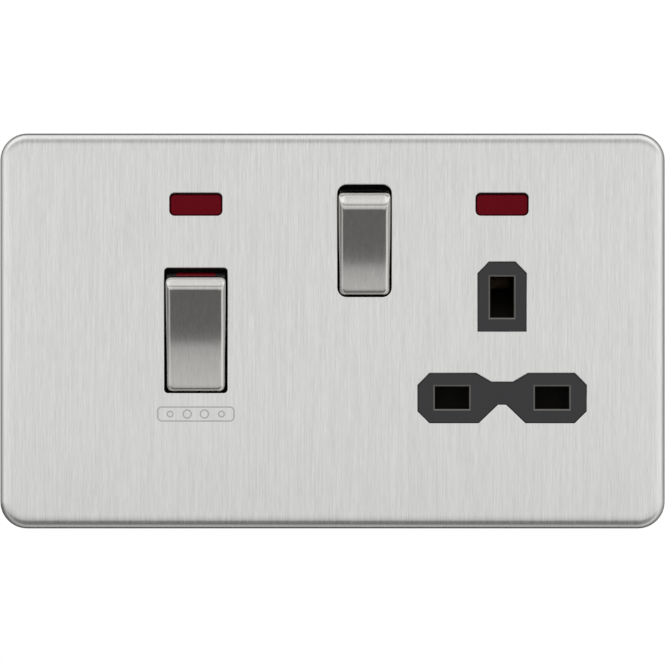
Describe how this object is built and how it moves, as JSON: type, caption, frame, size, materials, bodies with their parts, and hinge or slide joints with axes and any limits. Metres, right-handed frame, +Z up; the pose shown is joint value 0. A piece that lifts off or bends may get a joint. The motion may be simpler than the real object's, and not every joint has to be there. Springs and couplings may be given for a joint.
{
  "type": "cooker control unit",
  "caption": "Wall-mounted cooker switch and switched three-pin socket with neon indicators and a clip-on metal cover",
  "frame": {"origin": "midway between the two fixing holes, in the wall plane", "axes": "+X right as seen from the front, +Y into the wall, +Z up"},
  "size_m": [0.1474, 0.0355, 0.0878],
  "materials": {
    "brushed_cover": "brushed, grain upright",
    "brushed_cap": "brushed, grain upright",
    "dark_moulding": "fine matt moulding",
    "black_moulding": "fine matt moulding",
    "housing_moulding": "fine matt moulding",
    "rocker_moulding": "fine matt moulding",
    "white_moulding": "smooth moulding",
    "red_flag": "smooth moulding",
    "red_lens": "polished, clear red",
    "lamp_glass": "clear",
    "brass_strip": "pressed strip",
    "brass_block": "machined",
    "spring_metal": "drawn wire and spring strip",
    "silver_contact": "polished",
    "plated_steel": "zinc plated",
    "tinned_wire": "tinned",
    "resistor_body": "dipped coating"
  },
  "bodies": {
    "base": {"front_frame": "dark_moulding", "cover_clips": "spring_metal", "rear_housing": "housing_moulding", "housing_screws": "plated_steel", "terminal_screws": "brass_block", "contact_carrier": "black_moulding", "shutter_spring": "spring_metal", "live_pin_contact": "brass_strip", "neutral_pin_contact": "brass_strip", "earth_pin_contact": "brass_strip", "fixed_tips": "silver_contact", "supply_live_contact": "brass_strip", "supply_neutral_contact": "brass_strip", "load_live_bracket": "brass_strip", "load_neutral_bracket": "brass_strip", "live_busbar": "brass_strip", "socket_live_bracket": "brass_strip", "neutral_busbar": "brass_strip", "earth_bar": "brass_strip", "plate_earth_spring": "spring_metal", "cooker_neon_lens": "red_lens", "socket_neon_lens": "red_lens", "cooker_neon_lamp": "lamp_glass", "socket_neon_lamp": "lamp_glass", "cooker_neon_resistor": "resistor_body", "socket_neon_resistor": "resistor_body", "cooker_neon_leads": "tinned_wire", "socket_neon_leads": "tinned_wire", "supply_live_terminal": "brass_block", "supply_neutral_terminal": "brass_block", "supply_earth_terminal": "brass_block", "load_live_terminal": "brass_block", "load_neutral_terminal": "brass_block", "load_earth_terminal": "brass_block"},
    "cover": {"front_plate": "brushed_cover"},
    "shutter": {"shutter": "black_moulding"},
    "cooker_rocker": {"cooker_rocker": "rocker_moulding", "cooker_rocker_cap": "brushed_cap", "cooker_on_flag": "red_flag", "cooker_live_plunger_spring": "spring_metal", "cooker_neutral_plunger_spring": "spring_metal"},
    "cooker_live_plunger": {"cooker_live_plunger": "white_moulding"},
    "cooker_neutral_plunger": {"cooker_neutral_plunger": "white_moulding"},
    "socket_rocker": {"socket_rocker": "rocker_moulding", "socket_rocker_cap": "brushed_cap", "socket_plunger_spring": "spring_metal"},
    "socket_plunger": {"socket_plunger": "white_moulding"},
    "cooker_live_arm": {"cooker_live_arm": "brass_strip", "cooker_live_tip": "silver_contact"},
    "cooker_neutral_arm": {"cooker_neutral_arm": "brass_strip", "cooker_neutral_tip": "silver_contact"},
    "socket_arm": {"socket_arm": "brass_strip", "socket_tip": "silver_contact"}
  },
  "joints": [
    {"name": "cover_pull", "type": "slide", "parent": "base", "child": "cover", "axis": [0, -1, 0], "range_m": [0, 0.03]},
    {"name": "cooker_rocker_tilt", "type": "hinge", "parent": "base", "child": "cooker_rocker", "pos_m": [-0.0303, 0.0006, 0.0001], "axis": [1, 0, 0], "range_deg": [-13, 0]},
    {"name": "socket_rocker_tilt", "type": "hinge", "parent": "base", "child": "socket_rocker", "pos_m": [0.0071, 0.0006, 0.02], "axis": [1, 0, 0], "range_deg": [-13, 0]},
    {"name": "shutter_slide", "type": "slide", "parent": "base", "child": "shutter", "axis": [0, 0, -1], "range_m": [0, 0.0062], "stiffness_N_per_m": 120, "springref_m": -0.004, "deforming": ["shutter_spring"]},
    {"name": "cooker_live_arm_tilt", "type": "hinge", "parent": "base", "child": "cooker_live_arm", "pos_m": [-0.0336, 0.01208, 0.0001], "axis": [1, 0, 0], "range_deg": [0, 13]},
    {"name": "cooker_neutral_arm_tilt", "type": "hinge", "parent": "base", "child": "cooker_neutral_arm", "pos_m": [-0.027, 0.01208, 0.0001], "axis": [1, 0, 0], "range_deg": [0, 13]},
    {"name": "socket_arm_tilt", "type": "hinge", "parent": "base", "child": "socket_arm", "pos_m": [0.0071, 0.01208, 0.02], "axis": [1, 0, 0], "range_deg": [0, 13]},
    {"name": "cooker_live_plunger_slide", "type": "slide", "parent": "cooker_rocker", "child": "cooker_live_plunger", "axis": [0, -0.9936, -0.1132], "range_m": [0, 0.00035], "stiffness_N_per_m": 400, "springref_m": -0.001},
    {"name": "cooker_neutral_plunger_slide", "type": "slide", "parent": "cooker_rocker", "child": "cooker_neutral_plunger", "axis": [0, -0.9936, -0.1132], "range_m": [0, 0.00035], "stiffness_N_per_m": 400, "springref_m": -0.001},
    {"name": "socket_plunger_slide", "type": "slide", "parent": "socket_rocker", "child": "socket_plunger", "axis": [0, -0.9936, -0.1132], "range_m": [0, 0.00035], "stiffness_N_per_m": 400, "springref_m": -0.001}
  ],
  "couplings": [
    {"joint": "cooker_live_arm_tilt", "follows": "cooker_rocker_tilt", "ratio": -1},
    {"joint": "cooker_neutral_arm_tilt", "follows": "cooker_rocker_tilt", "ratio": -1},
    {"joint": "socket_arm_tilt", "follows": "socket_rocker_tilt", "ratio": -1}
  ]
}
